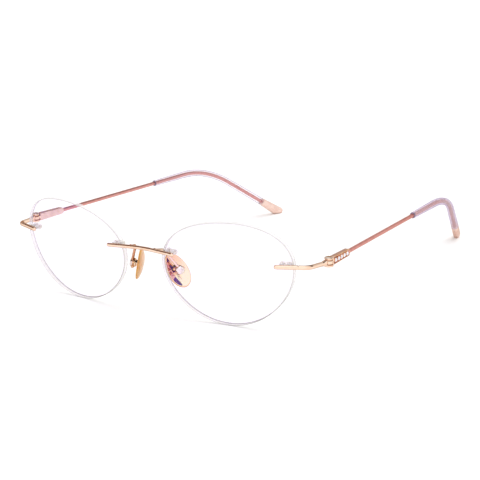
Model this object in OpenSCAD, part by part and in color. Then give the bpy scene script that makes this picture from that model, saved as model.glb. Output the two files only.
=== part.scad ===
/* [Lenses] */
// Width of each lens
lens_w = 50; // [46:0.5:54]
// Height of each lens
lens_h = 36.8; // [32:0.2:40]
// Distance between the two lens centres
lens_spacing = 67.4; // [66:0.2:72]
// Thickness of each lens
lens_t = 1.8; // [1.4:0.1:2.4]
// Radius of the front curve of each lens
lens_curve = 100; // [80:5:160]
// How far each lens is turned back towards its temple, in degrees
face_wrap = 6.6; // [3:0.1:9]
// How far the lenses lean forward when the glasses lie on a table, in degrees
lens_lean = 6.3; // [3:0.1:10]

/* [Bridge and end pieces] */
// Diameter of the bridge bar
bridge_d = 1.3; // [1.1:0.05:1.6]
// Radius of the arch in the middle of the bridge
bridge_arch = 45; // [30:1:50]
// Height of the bars above the lens centres
bar_height = 5.1; // [3:0.1:7]
// Diameter of the end-piece bars
end_bar_d = 1.5; // [1.3:0.05:1.7]
// Length of each bar that lies on a lens
bar_overlap = 5.4; // [4.8:0.1:6.5]
// Radius of the bend at each outer corner
corner_radius = 3; // [2.4:0.1:4]

/* [Hinges and temples] */
// Distance between the two hinge screws
hinge_spacing = 130; // [126:1:138]
// Distance of the hinge screws behind the lens faces
hinge_back = 16.6; // [15:0.2:19]
// Slope of the front part of each temple, in degrees above level
temple_rise = 1.1; // [0.5:0.1:2]
// Length of each temple, measured along it from the hinge
temple_length = 145; // [140:1:150]
// Length of each temple in front of the ear bend
temple_straight = 85; // [80:1:90]
// How much each temple leans in towards the head, in degrees
temple_lean_in = 4.55; // [3:0.05:6]
// Radius of the ear bend
ear_radius = 41.5; // [36:0.5:46]
// Slope of the part behind the ear, in degrees below level
tail_drop = 33; // [30:0.5:35]
// How far the part behind the ear turns in, in degrees from straight back
tail_in = 20.8; // [16:0.2:24]
// Diameter of the temple wire
wire_d = 1.4; // [1.2:0.05:1.6]
// Diameter of the clear sleeve where it starts
sleeve_start_d = 2.3; // [2.1:0.05:2.6]
// Diameter of the clear sleeve at the tip cap
sleeve_end_d = 3; // [2.7:0.05:3.2]
// Distance from the hinge to the start of the sleeve
sleeve_from = 66.6; // [60:0.2:72]
// Length of the metal tip cap
cap_length = 12.5; // [9:0.5:13]
// Width of the tip cap near its end
cap_width = 4.1; // [3.4:0.1:4.6]

/* [Nose pads] */
// Distance between the centres of the two pads
pad_spacing = 17.1; // [15:0.1:20]
// Distance of the pad centres behind the lens faces
pad_back = 8.5; // [7.5:0.1:10]
// Height of the pad centres above the table
pad_height = 14.9; // [14:0.1:16]
// Length of each pad
pad_length = 13.6; // [12:0.1:15]
// Width of each pad
pad_width = 7.6; // [6.5:0.1:8.5]

/* [Hidden] */
$fn = 48;

rose_gold = "#d9a184";
copper_pink = "#c8786e";
pad_amber = "#f0b070";
clear_pink = [0.88, 0.82, 0.9, 0.45];
clear_glass = [0.9, 0.92, 0.95, 0.3];
crystal = "#f4f2f6";

// Gaps: a fixed fit between two pieces, and a fit that turns.
snug = 0.02;
loose = 0.05;
over = 1;

// Small vector helpers.
function unit(v) = v / norm(v);
function flip(v) = [-v.x, v.y, v.z];
function side_vector(d) = abs(d.z) < 0.9 ? unit(cross(d, [0, 0, 1])) : unit(cross(d, [1, 0, 0]));

// Draws its children with their x along ex and their z along ez, standing at p.
module stand(p, ex, ez) {
    ey = cross(ez, ex);
    multmatrix([
        [ex.x, ey.x, ez.x, p.x],
        [ex.y, ey.y, ez.y, p.y],
        [ex.z, ey.z, ez.z, p.z],
        [0, 0, 0, 1]
    ]) children();
}

// A round rod from a to b, which can taper.
module rod(a, b, r, r_end = undef) {
    d = unit(b - a);
    stand(a, side_vector(d), d)
        cylinder(h = norm(b - a), r1 = r, r2 = is_undef(r_end) ? r : r_end);
}

// How far a bend of radius bend_r begins before its corner, for the turn a, c, b.
function turn(a, c, b) = acos(unit(c - a) * unit(b - c));
function setback(a, c, b, bend_r) = bend_r * tan(turn(a, c, b) / 2);

// The round bend that takes a rod from direction a-c to direction c-b.
module bend(a, c, b, r, bend_r) {
    d = unit(c - a);
    n = unit(cross(d, b - c));
    towards = cross(n, d);
    start = c - d * setback(a, c, b, bend_r);
    stand(start + towards * bend_r, -towards, n)
        rotate_extrude(angle = turn(a, c, b), $fn = 96) translate([bend_r, 0]) circle(r);
}

// Thin, barely proud collars that join a bend to the rods beside it.
collar_h = 0.1;
collar_swell = 0.015;
module collar(p, d, r) {
    rod(p - d * collar_h / 2, p + d * collar_h / 2, r + collar_swell);
}
module collars(a, c, b, r, bend_r) {
    back = setback(a, c, b, bend_r);
    collar(c - unit(c - a) * back, unit(c - a), r);
    collar(c + unit(b - c) * back, unit(b - c), r);
}

// A rod from a to b with a round end at a.
module domed_rod(a, b, r) {
    d = unit(b - a);
    stand(a, side_vector(d), d) rotate_extrude() intersection() {
        union() {
            circle(r);
            square([r, norm(b - a)]);
        }
        translate([0, -r]) square([r, r + norm(b - a)]);
    }
}

// A rod from a to b with one rounded bend at the corner c.
module bent_rod(a, c, b, r, bend_r) {
    back = setback(a, c, b, bend_r);
    rod(a, c - unit(c - a) * back, r);
    bend(a, c, b, r, bend_r);
    rod(c + unit(b - c) * back, b, r);
    collars(a, c, b, r, bend_r);
}

// The lens outline in its own plane: a soft oval, fuller at the top and lifted at the temple.
squareness = 0.058;
top_fullness = 0.146;
outer_fullness = 0.044;
outer_lift = 0.078;
outline_points = 120;
oval_power = 2 / (2 + squareness);
function signed_power(x) = sign(x) * pow(abs(x), oval_power);
function outline_at(angle) = let (c = cos(angle), s = sin(angle)) [
    lens_w / 2 * signed_power(c) * (1 + top_fullness * s),
    lens_h / 2 * (signed_power(s) * (1 + outer_fullness * c) + outer_lift * c)
];
outline = [for (i = [0 : outline_points - 1]) outline_at(i * 360 / outline_points)];

// The lens centre is as high as it takes for the rims to touch the table.
function rim_drop(p) = p.y * cos(lens_lean) + (p * p) / (2 * lens_curve) * sin(lens_lean);
lens_centre_z = -min([for (p = outline) rim_drop(p)]);

// Places children in the left lens's own frame: x outwards, y into the lens, z up.
module in_lens() {
    translate([lens_spacing / 2, 0, lens_centre_z]) rotate([lens_lean, 0, face_wrap]) children();
}

// Moves children over the front curve of the lens, to u outwards and v up.
module on_curve(u, v) {
    translate([0, lens_curve, 0]) rotate([-asin(v / lens_curve), 0, asin(u / lens_curve)])
        translate([0, -lens_curve, 0]) children();
}

// The same two placements, for points.
function rot_x(p, a) = [p.x, p.y * cos(a) - p.z * sin(a), p.y * sin(a) + p.z * cos(a)];
function rot_z(p, a) = [p.x * cos(a) - p.y * sin(a), p.x * sin(a) + p.y * cos(a), p.z];
function from_curve(p, u, v) = let (q = p - [0, lens_curve, 0])
    rot_z(rot_x(q, -asin(v / lens_curve)), asin(u / lens_curve)) + [0, lens_curve, 0];
function from_lens(p) =
    rot_z(rot_x(p, lens_lean), face_wrap) + [lens_spacing / 2, 0, lens_centre_z];

// Each bar is pinned through two holes, set in from the rim of the lens.
bar_mid_u = lens_w / 2 - bar_overlap / 2;
pin_gap = 2.6;
pin_r = 0.4;
tube_r = 0.7;
bushing_boss_r = 1;
bushing_t = 1.2;
bushing_web_half_w = 0.7;
bushing_web_t = 0.95;
module at_bar(outer) {
    in_lens() on_curve(outer * bar_mid_u, bar_height) children();
}
module at_pins() {
    for (x = [-pin_gap / 2, pin_gap / 2]) translate([x, 0, 0]) rotate([-90, 0, 0]) children();
}

// The whole pair stands on the table with its lens faces at y = 0. The origin is then
// moved to the point midway between the nose pads, where the glasses sit on the nose.
module from_nose() {
    translate([0, -pad_back, -pad_height]) children();
}
module on_side(left) {
    from_nose() mirror([left ? 0 : 1, 0, 0]) children();
}

module lens(left) {
    color(clear_glass) on_side(left) difference() {
        in_lens() intersection() {
            difference() {
                translate([0, lens_curve, 0]) sphere(lens_curve, $fn = 180);
                translate([0, lens_curve, 0]) sphere(lens_curve - lens_t, $fn = 180);
            }
            rotate([90, 0, 0]) linear_extrude(lens_curve / 2, center = true) polygon(outline);
        }
        for (outer = [-1, 1]) at_bar(outer) at_pins()
            translate([0, 0, -over]) cylinder(h = lens_t + 2 * over, r = tube_r + snug);
    }
}

// A clear double bushing behind the lens: two tubes fill the holes and grip the pins.
module bushing(left, outer) {
    color(clear_glass) on_side(left) at_bar(outer) difference() {
        union() {
            at_pins() translate([0, 0, lens_t + snug]) cylinder(h = bushing_t, r = bushing_boss_r);
            at_pins() translate([0, 0, loose]) cylinder(h = lens_t, r = tube_r);
            translate([-pin_gap / 2, lens_t + snug, -bushing_web_half_w])
                cube([pin_gap, bushing_web_t, 2 * bushing_web_half_w]);
        }
        at_pins() cylinder(h = lens_t + 2 * bushing_t, r = pin_r + snug);
    }
}

// A point on the centreline of a bar of radius r that lies on a lens, in table coordinates.
// along is the distance, outwards, from the middle of the part that lies on the lens.
function bar_point(outer, along, r) =
    from_lens(from_curve([along, -r - snug, 0], outer * bar_mid_u, bar_height));
module bar_pins(outer, r) {
    at_bar(outer) at_pins() translate([0, 0, -r]) cylinder(h = r + lens_t + bushing_t, r = pin_r);
}

// One bar across the nose, flat on both lenses and arched in the middle. Its free ends
// lie on the lenses, and its peak is where the two straight parts would meet.
bridge_r = bridge_d / 2;
bridge_free = bar_point(-1, bar_overlap / 2, bridge_r);
bridge_rim = bar_point(-1, -bar_overlap / 2, bridge_r);
bridge_peak = bridge_free
    + (bridge_rim - bridge_free) * bridge_free.x / (bridge_free.x - bridge_rim.x);
module bridge() {
    back = setback(bridge_free, bridge_peak, flip(bridge_free), bridge_arch);
    color(rose_gold) from_nose() {
        bend(bridge_free, bridge_peak, flip(bridge_free), bridge_r, bridge_arch);
        collars(bridge_free, bridge_peak, flip(bridge_free), bridge_r, bridge_arch);
        for (m = [0, 1]) mirror([m, 0, 0]) {
            domed_rod(bridge_free, bridge_peak + unit(bridge_free - bridge_peak) * back, bridge_r);
            bar_pins(-1, bridge_r);
        }
    }
}

// Directions of the temple in front of the ear bend and of the tail behind it.
function direction(lean_in, rise) =
    [-cos(rise) * sin(lean_in), cos(rise) * cos(lean_in), sin(rise)];
temple_dir = direction(temple_lean_in, temple_rise);
tail_dir = direction(tail_in, -tail_drop);
temple_side = unit(cross(temple_dir, [0, 0, 1]));
temple_top = cross(temple_side, temple_dir);
cap_up = unit([0, 0, 1] - tail_dir * tail_dir.z);

// Lengths along the temple, from the hinge to the ear bend and to the tip.
ear_turn = acos(temple_dir * tail_dir);
ear_back = ear_radius * tan(ear_turn / 2);
ear_at = temple_straight + ear_back;
tail_length = ear_back + temple_length - temple_straight - ear_radius * ear_turn * PI / 180;

// The hinge is as high as it takes for the tip caps to touch the table.
cap_end_r = 1.3;
cap_slant = 2.6;
low_point = temple_dir * ear_at + tail_dir * (tail_length - cap_end_r - cap_slant)
    - cap_up * (cap_width / 2 - cap_end_r) - [0, 0, cap_end_r];
hinge = [hinge_spacing / 2, hinge_back, -low_point.z];
ear = hinge + temple_dir * ear_at;
tip = ear + tail_dir * tail_length;
cap_start = tip - tail_dir * cap_length;

// The hinge: two knuckles on the end piece, one on the temple and a screw down the middle.
knuckle_r = 1.5;
knuckle_gap = 0.06;
outer_knuckle_h = 0.85;
middle_knuckle_h = 1.2;
hinge_h = middle_knuckle_h + 2 * (knuckle_gap + outer_knuckle_h);
hinge_screw_r = 0.55;
fork_reach = 1.1;

// The end piece: a bar on the lens, a round corner and an arm back to the hinge fork.
end_r = end_bar_d / 2;
end_free = bar_point(1, -bar_overlap / 2, end_r);
end_rim = bar_point(1, bar_overlap / 2, end_r);
corner_inset = 1.5;
corner_x = hinge.x - corner_inset;
corner = end_free + (end_rim - end_free) * (corner_x - end_free.x) / (end_rim.x - end_free.x);
arm_dir = unit([hinge.x - corner.x, hinge.y - corner.y, 0]);
fork_web = 1.3;
fork_web_h = 1.9;
arm_end = hinge - arm_dir * (knuckle_r + fork_reach / 2);
module end_piece(left) {
    back = setback(end_free, corner, arm_end, corner_radius);
    color(rose_gold) on_side(left) {
        domed_rod(end_free, corner - unit(corner - end_free) * back, end_r);
        bend(end_free, corner, arm_end, end_r, corner_radius);
        collars(end_free, corner, arm_end, end_r, corner_radius);
        rod(corner + unit(arm_end - corner) * back, arm_end, end_r);
        bar_pins(1, end_r);
        fork();
    }
}
module fork() {
    difference() {
        union() {
            translate(hinge - [0, 0, hinge_h / 2]) cylinder(h = hinge_h, r = knuckle_r);
            stand(hinge, arm_dir, [0, 0, 1])
                translate([-knuckle_r - fork_reach, -fork_web / 2, -fork_web_h / 2])
                    cube([knuckle_r + fork_reach, fork_web, fork_web_h]);
        }
        translate(hinge - [0, 0, middle_knuckle_h / 2 + knuckle_gap])
            cylinder(h = middle_knuckle_h + 2 * knuckle_gap, r = knuckle_r + knuckle_gap);
        translate(hinge - [0, 0, hinge_h / 2 + over])
            cylinder(h = hinge_h + 2 * over, r = hinge_screw_r + snug);
    }
}

screw_head_r = 1.25;
screw_head_h = 0.3;
slot_w = 0.25;
module hinge_screw(left) {
    color(rose_gold) on_side(left) translate(hinge + [0, 0, hinge_h / 2 + snug]) difference() {
        union() {
            translate([0, 0, -hinge_h]) cylinder(h = hinge_h, r = hinge_screw_r);
            cylinder(h = screw_head_h, r = screw_head_r);
        }
        translate([-screw_head_r, -slot_w / 2, screw_head_h / 2])
            cube([2 * screw_head_r, slot_w, screw_head_h]);
    }
}

// The temple plate: a flat, tapered bar with the middle knuckle in front of it.
plate_length = 14.2;
plate_t = 1.7;
plate_start_h = 2.9;
plate_end_h = 2.4;
plate_from = 0.8;
plate_end_r = plate_end_h / 2;
neck_length = 2.3;
wire_inset = 1.7;
stone_count = 5;
stone_pitch = 2.1;
stone_first = 3.3;
stone_r = 0.75;
stone_h = 0.75;
stone_set = 0.35;
stone_table = 0.6;
module along_temple() {
    stand(hinge, temple_dir, temple_top) children();
}
module at_stones() {
    for (i = [0 : stone_count - 1])
        translate([stone_first + i * stone_pitch, -plate_t / 2, 0]) rotate([90, 0, 0]) children();
}
module temple_plate(left) {
    color(rose_gold) on_side(left) {
        difference() {
            along_temple() {
                rotate([90, 0, 0]) linear_extrude(plate_t, center = true) {
                    polygon([
                        [plate_from, -plate_start_h / 2],
                        [plate_length - plate_end_r, -plate_end_h / 2],
                        [plate_length - plate_end_r, plate_end_h / 2],
                        [plate_from, plate_start_h / 2]
                    ]);
                    translate([plate_length - plate_end_r, 0]) circle(plate_end_r);
                }
            }
            translate(hinge - [0, 0, hinge_h])
                cylinder(h = 2 * hinge_h, r = knuckle_r + 2 * knuckle_gap);
            along_temple() at_stones()
                translate([0, 0, -stone_set]) cylinder(h = over, r = stone_r + snug);
            rod(hinge + temple_dir * (plate_length - wire_inset),
                hinge + temple_dir * (plate_length + over), wire_d / 2 + snug);
        }
        difference() {
            union() {
                translate(hinge - [0, 0, middle_knuckle_h / 2])
                    cylinder(h = middle_knuckle_h, r = knuckle_r);
                translate(hinge - [0, 0, middle_knuckle_h / 2]) rotate([0, 0, temple_lean_in])
                    translate([-plate_t / 2, 0, 0]) cube([plate_t, neck_length, middle_knuckle_h]);
            }
            translate(hinge - [0, 0, hinge_h])
                cylinder(h = 2 * hinge_h, r = hinge_screw_r + loose);
        }
    }
}

// Five crystals in a row on the outer face of the plate.
module rhinestones(left) {
    color(crystal) on_side(left) along_temple() at_stones()
        translate([0, 0, -stone_set + snug]) {
            cylinder(h = stone_h / 2, r = stone_r, $fn = 24);
            translate([0, 0, stone_h / 2])
                cylinder(h = stone_h / 2, r1 = stone_r, r2 = stone_r * stone_table, $fn = 24);
        }
}

wire_r = wire_d / 2;
wire_cap_inset = 3;
wire_start = hinge + temple_dir * (plate_length - wire_inset + snug);
wire_end = cap_start + tail_dir * (wire_cap_inset - snug);
module temple_wire(left) {
    color(copper_pink) on_side(left) bent_rod(wire_start, ear, wire_end, wire_r, ear_radius);
}

// The clear sleeve over the end of the wire. It gets thicker towards the tip.
sleeve_mid_r = (sleeve_start_d + 2 * sleeve_end_d) / 6;
module temple_sleeve(left) {
    sleeve_start = hinge + temple_dir * sleeve_from;
    sleeve_end = cap_start - tail_dir * snug;
    color(clear_pink) on_side(left) difference() {
        union() {
            rod(sleeve_start, ear - temple_dir * ear_back, sleeve_start_d / 2, sleeve_mid_r);
            bend(hinge, ear, tip, sleeve_mid_r, ear_radius);
            collars(hinge, ear, tip, sleeve_mid_r, ear_radius);
            rod(ear + tail_dir * ear_back, sleeve_end, sleeve_mid_r, sleeve_end_d / 2);
        }
        bent_rod(hinge, ear, tip, wire_r + snug, ear_radius);
    }
}

// The tip cap: a round socket that flattens into a paddle with a slanted, rounded end.
cap_socket_h = 0.6;
module tip_cap(left) {
    color(rose_gold) on_side(left) difference() {
        stand(cap_start, cap_up, tail_dir) hull() {
            cylinder(h = cap_socket_h, r = sleeve_end_d / 2, $fn = 32);
            translate([cap_width / 2 - cap_end_r, 0, cap_length - cap_end_r])
                sphere(cap_end_r, $fn = 32);
            translate([-cap_width / 2 + cap_end_r, 0, cap_length - cap_end_r - cap_slant])
                sphere(cap_end_r, $fn = 32);
        }
        rod(cap_start - tail_dir, cap_start + tail_dir * wire_cap_inset, wire_r + snug);
    }
}

// Nose pad frame: x away from the nose, y across the pad, z up along it.
pad_turn = [26.8, -12.4, -30];
pad_face = 0.4;
pad_crown_r = 17;
pad_crown = 1.7;
pivot_x = 2;
box_wall = 0.45;
box_half_y = 1.55;
box_half_z = 1.5;
box_front = 0.95;
box_back = 3.35;
box_round_r = 2.1;
box_bead_r = 0.52;
box_bead = [2, -1.5, 1.4];
lug_r = 0.85;
lug_half_y = 0.8;
pad_screw_r = 0.5;
module at_pad() {
    translate([pad_spacing / 2, pad_back, pad_height]) rotate(pad_turn) children();
}
function from_pad(p) = let (a = rot_x(p, pad_turn.x))
    rot_z([a.x * cos(pad_turn.y) + a.z * sin(pad_turn.y), a.y,
        -a.x * sin(pad_turn.y) + a.z * cos(pad_turn.y)], pad_turn.z)
    + [pad_spacing / 2, pad_back, pad_height];

module pad_box(left) {
    color(rose_gold) on_side(left) at_pad() difference() {
        union() {
            intersection() {
                translate([box_front, -box_half_y, -box_half_z])
                    cube([box_back - box_front, 2 * box_half_y, 2 * box_half_z]);
                translate([pivot_x, 0, 0]) sphere(box_round_r);
            }
            translate(box_bead) sphere(box_bead_r);
        }
        translate([-over, -lug_half_y - loose, -box_half_z - over])
            cube([box_back - box_wall + over, 2 * (lug_half_y + loose), 2 * (box_half_z + over)]);
        translate([pivot_x, 0, 0]) rotate([90, 0, 0])
            cylinder(h = 4 * box_half_y, r = pad_screw_r + snug, center = true);
    }
}

// The pad pin crosses the box from one cheek to the other and ends in a ball.
module pad_screw(left) {
    head_r = 0.56;
    head_gap = 0.04;
    tail_h = 0.35;
    color(rose_gold) on_side(left) at_pad() translate([pivot_x, box_half_y + tail_h, 0])
        rotate([90, 0, 0]) {
            cylinder(h = 2 * box_half_y + tail_h + head_gap + head_r, r = pad_screw_r);
            translate([0, 0, 2 * box_half_y + tail_h + head_gap + head_r]) sphere(head_r);
        }
}

// The metal core: a lug that turns on the screw, on a plate that is moulded into the pad.
core_half = [0.3, 1.4, 2.6];
module pad_core(left) {
    color(rose_gold) on_side(left) at_pad() difference() {
        union() {
            translate([pivot_x, 0, 0]) rotate([90, 0, 0])
                cylinder(h = 2 * lug_half_y, r = lug_r, center = true);
            translate([0, -lug_half_y, -lug_r]) cube([pivot_x, 2 * lug_half_y, 2 * lug_r]);
            cube(2 * core_half, center = true);
        }
        translate([pivot_x, 0, 0]) rotate([90, 0, 0])
            cylinder(h = 4 * lug_half_y, r = pad_screw_r + loose, center = true);
    }
}

// The pad: an egg-shaped cushion with a flat back and a crowned face, moulded round the core.
pad_points = 60;
pad_taper = 0.12;
pad_outline = [for (i = [0 : pad_points - 1]) let (a = i * 360 / pad_points)
    [pad_width / 2 * cos(a) * (1 - pad_taper * sin(a)), pad_length / 2 * sin(a)]];
module nose_pad(left) {
    color(pad_amber) on_side(left) at_pad() difference() {
        intersection() {
            rotate([90, 0, 90]) translate([0, 0, -pad_crown])
                linear_extrude(pad_crown + pad_face) polygon(pad_outline);
            translate([pad_crown_r - pad_crown, 0, 0]) sphere(pad_crown_r, $fn = 120);
        }
        cube(2 * core_half + [2 * snug, 2 * snug, 2 * snug], center = true);
        translate([0, -lug_half_y - snug, -lug_r - snug])
            cube([pivot_x, 2 * (lug_half_y + snug), 2 * (lug_r + snug)]);
    }
}

// The pad arm: from the back of the bridge, over and down to the pad box.
arm_r = 0.48;
arm_foot_x = 5.2;
arm_reach = [1.1, 4.6, -0.7];
arm_bend_r = 1.6;
arm_end_x = pivot_x + 0.5;
module pad_arm(left) {
    on_bridge = bridge_peak + (bridge_rim - bridge_peak) * arm_foot_x / bridge_rim.x;
    foot = on_bridge + [0, bridge_r + snug, 0];
    box_end = from_pad([arm_end_x, 0, box_half_z + snug]);
    color(rose_gold) on_side(left) bent_rod(foot, on_bridge + arm_reach, box_end, arm_r, arm_bend_r);
}

lens(true);  // left_lens
lens(false);  // right_lens
bridge();
bushing(true, -1);  // left_nasal_bushing
bushing(false, -1);  // right_nasal_bushing
bushing(true, 1);  // left_temporal_bushing
bushing(false, 1);  // right_temporal_bushing
pad_arm(true);  // left_pad_arm
pad_arm(false);  // right_pad_arm
pad_box(true);  // left_pad_box
pad_box(false);  // right_pad_box
pad_screw(true);  // left_pad_screw
pad_screw(false);  // right_pad_screw
pad_core(true);  // left_pad_core
pad_core(false);  // right_pad_core
nose_pad(true);  // left_nose_pad
nose_pad(false);  // right_nose_pad
end_piece(true);  // left_end_piece
end_piece(false);  // right_end_piece
hinge_screw(true);  // left_hinge_screw
hinge_screw(false);  // right_hinge_screw
temple_plate(true);  // left_temple_plate
temple_plate(false);  // right_temple_plate
rhinestones(true);  // left_rhinestones
rhinestones(false);  // right_rhinestones
temple_wire(true);  // left_temple_wire
temple_wire(false);  // right_temple_wire
temple_sleeve(true);  // left_temple_sleeve
temple_sleeve(false);  // right_temple_sleeve
tip_cap(true);  // left_tip_cap
tip_cap(false);  // right_tip_cap
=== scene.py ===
from math import acos, asin, cos, degrees, exp, pi, radians, sin, tan

import bmesh
import bpy
import numpy as np
from mathutils import Matrix, Vector
from mathutils.bvhtree import BVHTree


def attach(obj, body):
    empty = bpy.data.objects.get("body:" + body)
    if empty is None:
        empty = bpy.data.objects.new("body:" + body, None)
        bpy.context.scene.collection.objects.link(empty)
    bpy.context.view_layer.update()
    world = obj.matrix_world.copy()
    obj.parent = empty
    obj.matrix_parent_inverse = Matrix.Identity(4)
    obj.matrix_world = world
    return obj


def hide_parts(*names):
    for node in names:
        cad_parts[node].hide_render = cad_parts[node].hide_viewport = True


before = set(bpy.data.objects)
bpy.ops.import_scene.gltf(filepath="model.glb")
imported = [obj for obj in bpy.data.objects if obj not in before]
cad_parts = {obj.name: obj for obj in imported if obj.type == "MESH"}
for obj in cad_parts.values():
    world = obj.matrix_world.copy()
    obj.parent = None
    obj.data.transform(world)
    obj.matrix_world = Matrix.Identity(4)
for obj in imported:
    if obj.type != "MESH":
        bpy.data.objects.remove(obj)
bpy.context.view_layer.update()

# All shape numbers are in millimetres and degrees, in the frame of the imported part.
# +X is the wearer's left, -Y the front and +Z up.
MM = 0.001
PAD_BACK, PAD_HEIGHT, PAD_SPACING = 8.5, 14.9, 17.1
FLOOR_Z = -PAD_HEIGHT

LENS_W, LENS_H, LENS_SPACING = 50.0, 36.8, 67.4
LENS_T, LENS_CURVE = 1.8, 100.0
FACE_WRAP, LENS_LEAN = 6.6, 6.3
SQUARENESS, TOP_FULLNESS, OUTER_FULLNESS, OUTER_LIFT = 0.058, 0.146, 0.044, 0.078
RIM_BEVEL = 0.26

BAR_HEIGHT, BAR_OVERLAP, PIN_GAP = 5.1, 5.4, 2.6
BRIDGE_R, BRIDGE_ARCH, END_R, CORNER_RADIUS, CORNER_INSET = 0.65, 45.0, 0.75, 3.0, 1.5
PINS = (-PIN_GAP / 2, PIN_GAP / 2)
PIN_R, TUBE_R, BUSHING_T = 0.4, 0.7, 1.2
SNUG = 0.02

HINGE_X, HINGE_BACK = 65.0, 16.6
TEMPLE_RISE, TEMPLE_LEAN_IN, TAIL_DROP, TAIL_IN = 1.1, 4.55, 33.0, 20.8
TEMPLE_LENGTH, TEMPLE_STRAIGHT, EAR_RADIUS = 145.0, 85.0, 41.5
WIRE_R, SLEEVE_START_R, SLEEVE_END_R, SLEEVE_FROM = 0.7, 1.15, 1.5, 66.6
CAP_LENGTH, CAP_WIDTH, CAP_END_R, CAP_SLANT = 12.5, 4.1, 1.3, 2.6
KNUCKLE_R, KNUCKLE_GAP, OUTER_KNUCKLE_H, MIDDLE_KNUCKLE_H = 1.5, 0.06, 0.85, 1.2
HINGE_H = MIDDLE_KNUCKLE_H + 2 * (KNUCKLE_GAP + OUTER_KNUCKLE_H)
PLATE_LENGTH, PLATE_T, PLATE_START_H, PLATE_END_H = 14.2, 1.7, 2.9, 2.4
STONE_COUNT, STONE_PITCH, STONE_FIRST, STONE_R = 5, 2.1, 3.3, 0.75
PAD_TURN = (26.8, -12.4, -30.0)
PAD_LENGTH, PAD_WIDTH, PAD_FACE, PAD_CROWN, PAD_CROWN_R, PAD_DISH = 13.6, 7.6, 0.4, 1.7, 17.0, 0.45
PIVOT_X, ARM_R, LUG_R = 2.0, 0.48, 0.85


# ---- vectors
def vec(*p):
    return np.array(p, float)


def unit(v):
    return v / np.linalg.norm(v)


def rot(axis, angle):
    return np.array(Matrix.Rotation(radians(angle), 3, axis))


def turns(count):
    """Evenly spaced angles round a full turn."""
    return np.arange(count) * 2 * pi / count


def columns(x, y, z):
    """Points from their x, y and z. A plain number is shared by all the points."""
    return np.stack(np.broadcast_arrays(x, y, z), 1)


def from_lens(p):
    return (rot("Z", FACE_WRAP) @ rot("X", LENS_LEAN) @ np.asarray(p).T).T + LENS_CENTRE


def from_curve(p, u, v):
    turn = rot("Z", degrees(asin(u / LENS_CURVE))) @ rot("X", -degrees(asin(v / LENS_CURVE)))
    return (turn @ (np.asarray(p) - (0, LENS_CURVE, 0)).T).T + (0, LENS_CURVE, 0)


def outline(count):
    """The lens outline in its own plane: outwards and up."""
    a = turns(count)
    c, s = np.cos(a), np.sin(a)
    power = 2 / (2 + SQUARENESS)
    soft = lambda x: np.sign(x) * np.abs(x) ** power
    u = LENS_W / 2 * soft(c) * (1 + TOP_FULLNESS * s)
    v = LENS_H / 2 * (soft(s) * (1 + OUTER_FULLNESS * c) + OUTER_LIFT * c)
    return np.stack([u, v], 1)


rim = outline(720)
lean = radians(LENS_LEAN)
drop = rim[:, 1] * cos(lean) + (rim**2).sum(1) / (2 * LENS_CURVE) * sin(lean)
ORIGIN = vec(0, PAD_BACK, PAD_HEIGHT)
LENS_CENTRE = vec(LENS_SPACING / 2, 0, -drop.min()) - ORIGIN


def on_bar(outer, p):
    """From the frame of a bar on the left lens: x along the bar, y into the lens."""
    return from_lens(from_curve(p, outer * (LENS_W / 2 - BAR_OVERLAP / 2), BAR_HEIGHT))


def heading(lean_in, rise):
    a, b = radians(lean_in), radians(rise)
    return vec(-cos(b) * sin(a), cos(b) * cos(a), sin(b))


TEMPLE_DIR, TAIL_DIR = heading(TEMPLE_LEAN_IN, TEMPLE_RISE), heading(TAIL_IN, -TAIL_DROP)
TEMPLE_SIDE = unit(np.cross(TEMPLE_DIR, (0, 0, 1)))
TEMPLE_TOP = np.cross(TEMPLE_SIDE, TEMPLE_DIR)
CAP_UP = unit(vec(0, 0, 1) - TAIL_DIR * TAIL_DIR[2])
EAR_TURN = acos(TEMPLE_DIR @ TAIL_DIR)
EAR_BACK = EAR_RADIUS * tan(EAR_TURN / 2)
EAR_AT = TEMPLE_STRAIGHT + EAR_BACK
TAIL_LENGTH = EAR_BACK + TEMPLE_LENGTH - TEMPLE_STRAIGHT - EAR_RADIUS * EAR_TURN
low = (
    TEMPLE_DIR * EAR_AT
    + TAIL_DIR * (TAIL_LENGTH - CAP_END_R - CAP_SLANT)
    - CAP_UP * (CAP_WIDTH / 2 - CAP_END_R)
)
HINGE = vec(HINGE_X, HINGE_BACK, CAP_END_R - low[2]) - ORIGIN
EAR = HINGE + TEMPLE_DIR * EAR_AT
TIP = EAR + TAIL_DIR * TAIL_LENGTH
CAP_START = TIP - TAIL_DIR * CAP_LENGTH
MIRROR, X_AXIS, Z_AXIS = vec(-1, 1, 1), vec(1, 0, 0), vec(0, 0, 1)
PAD_MATRIX = rot("Z", PAD_TURN[2]) @ rot("Y", PAD_TURN[1]) @ rot("X", PAD_TURN[0])


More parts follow.
